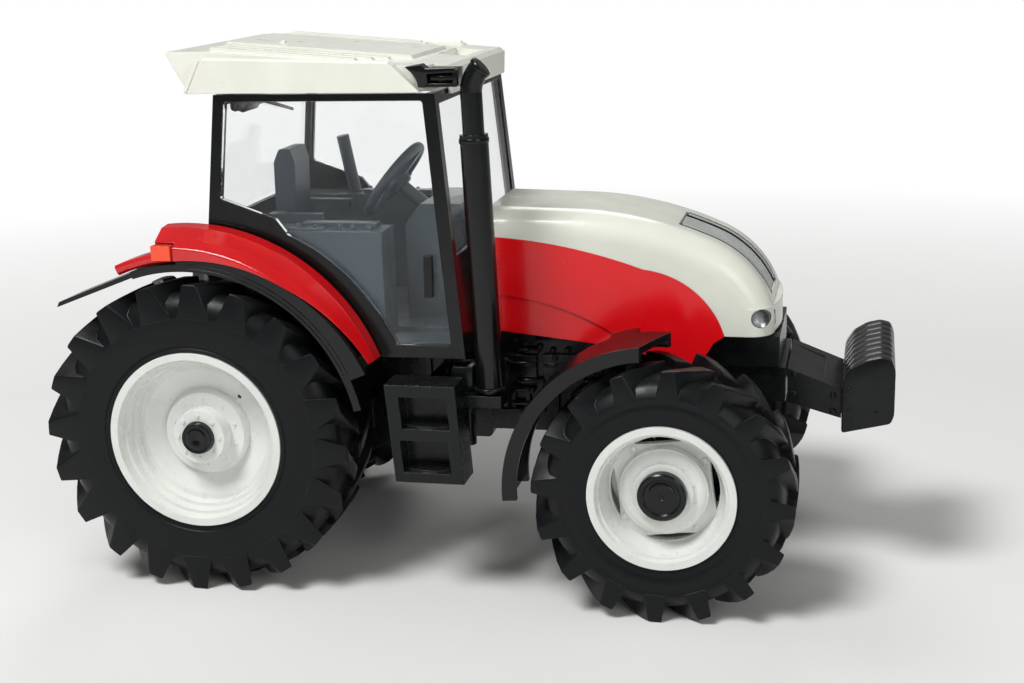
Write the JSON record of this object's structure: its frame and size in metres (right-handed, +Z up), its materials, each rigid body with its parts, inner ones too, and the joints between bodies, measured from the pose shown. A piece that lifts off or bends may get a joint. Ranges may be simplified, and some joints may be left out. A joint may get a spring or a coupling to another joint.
{
  "type": "model farm tractor",
  "caption": "Moulded 1:32 model of a farm tractor with rolling wheels, a steering pendulum front axle, a glazed cab, front weights and a lifting rear hitch.",
  "frame": {"origin": "on the ground under the middle of the model", "axes": "+X forward, +Y to the left of the driver, +Z up"},
  "size_m": [0.1488, 0.0704, 0.0932],
  "materials": {
    "tyre_rubber": "moulded soft plastic, satin",
    "rim_white": "moulded, glossy",
    "black_gloss": "moulded, glossy",
    "black_plastic": "moulded, satin",
    "steel": "plain pins",
    "clear_glass": "clear moulded glazing",
    "interior_grey": "moulded, satin",
    "roof_white": "moulded, glossy",
    "bonnet_white": "die-cast, gloss lacquer",
    "panel_red": "die-cast, gloss lacquer",
    "fender_red": "moulded, glossy",
    "indicator_orange": "painted lamp",
    "grille_grey": "printed strip",
    "lamp_clear": "clear lens"
  },
  "bodies": {
    "chassis": {"bonnet_top": "bonnet_white", "cab_frame": "black_gloss", "cab_interior": "interior_grey", "control_lever": "interior_grey", "door_handles": "black_gloss", "engine": "black_plastic", "exhaust": "black_gloss", "exhaust_bracket": "black_gloss", "fender_liner_left": "black_gloss", "fender_liner_right": "black_gloss", "front_axle_pivot_pin": "steel", "front_support": "black_plastic", "front_weights": "black_plastic", "grille": "grille_grey", "headlamp_left": "lamp_clear", "headlamp_right": "lamp_clear", "indicator_left": "indicator_orange", "indicator_right": "indicator_orange", "radiator_box": "black_plastic", "rear_axle_shaft": "black_gloss", "rear_fender_left": "fender_red", "rear_fender_right": "fender_red", "rear_glass": "clear_glass", "rear_housing": "black_plastic", "roof": "roof_white", "seat": "interior_grey", "side_glass_left": "clear_glass", "side_glass_right": "clear_glass", "side_panel_left": "panel_red", "side_panel_right": "panel_red", "side_shelf_left": "black_plastic", "side_shelf_right": "black_plastic", "steering_wheel": "interior_grey", "steps_left": "black_plastic", "steps_right": "black_plastic", "tow_coupling": "black_plastic", "weight_carrier": "black_plastic", "windscreen": "clear_glass"},
    "rear_wheel_left": {"rear_tyre_left": "tyre_rubber", "rear_rim_left": "rim_white"},
    "rear_wheel_right": {"rear_tyre_right": "tyre_rubber", "rear_rim_right": "rim_white"},
    "front_wheel_left": {"front_tyre_left": "tyre_rubber", "front_rim_left": "rim_white", "front_hub_cap_left": "black_gloss"},
    "front_wheel_right": {"front_tyre_right": "tyre_rubber", "front_rim_right": "rim_white", "front_hub_cap_right": "black_gloss"},
    "front_axle": {"front_axle_beam": "black_plastic", "kingpins": "steel"},
    "knuckle_left": {"knuckle_left": "black_plastic", "front_fender_left": "black_gloss"},
    "knuckle_right": {"knuckle_right": "black_plastic", "front_fender_right": "black_gloss"},
    "tie_rod": {"tie_rod": "black_plastic"},
    "lower_links": {"lower_links": "black_plastic"}
  },
  "joints": [
    {"name": "rear_wheel_left", "type": "hinge", "parent": "chassis", "child": "rear_wheel_left", "pos_m": [-0.0424, 0.0263, 0.0274], "axis": [0, 1, 0], "continuous": true},
    {"name": "rear_wheel_right", "type": "hinge", "parent": "chassis", "child": "rear_wheel_right", "pos_m": [-0.0424, -0.0263, 0.0274], "axis": [0, 1, 0], "continuous": true},
    {"name": "front_axle_swing", "type": "hinge", "parent": "chassis", "child": "front_axle", "pos_m": [0.038, 0, 0.0214], "axis": [1, 0, 0], "range_deg": [-6, 6]},
    {"name": "steer_left", "type": "hinge", "parent": "front_axle", "child": "knuckle_left", "pos_m": [0.038, 0.0222, 0.0214], "axis": [0, 0, 1], "range_deg": [-20, 20]},
    {"name": "steer_right", "type": "hinge", "parent": "front_axle", "child": "knuckle_right", "pos_m": [0.038, -0.0222, 0.0214], "axis": [0, 0, 1], "range_deg": [-20, 20]},
    {"name": "tie_rod_turn", "type": "hinge", "parent": "knuckle_left", "child": "tie_rod", "pos_m": [0.0454, 0.0222, 0.0191], "axis": [0, 0, 1], "range_deg": [-20, 20]},
    {"name": "front_wheel_left", "type": "hinge", "parent": "knuckle_left", "child": "front_wheel_left", "pos_m": [0.038, 0.0284, 0.0214], "axis": [0, 1, 0], "continuous": true},
    {"name": "front_wheel_right", "type": "hinge", "parent": "knuckle_right", "child": "front_wheel_right", "pos_m": [0.038, -0.0284, 0.0214], "axis": [0, 1, 0], "continuous": true},
    {"name": "lower_links_lift", "type": "hinge", "parent": "chassis", "child": "lower_links", "pos_m": [-0.0529, 0, 0.022], "axis": [0, 1, 0], "range_deg": [-8, 25]}
  ],
  "couplings": [
    {"joint": "steer_right", "follows": "steer_left", "ratio": 1},
    {"joint": "tie_rod_turn", "follows": "steer_left", "ratio": -1}
  ]
}
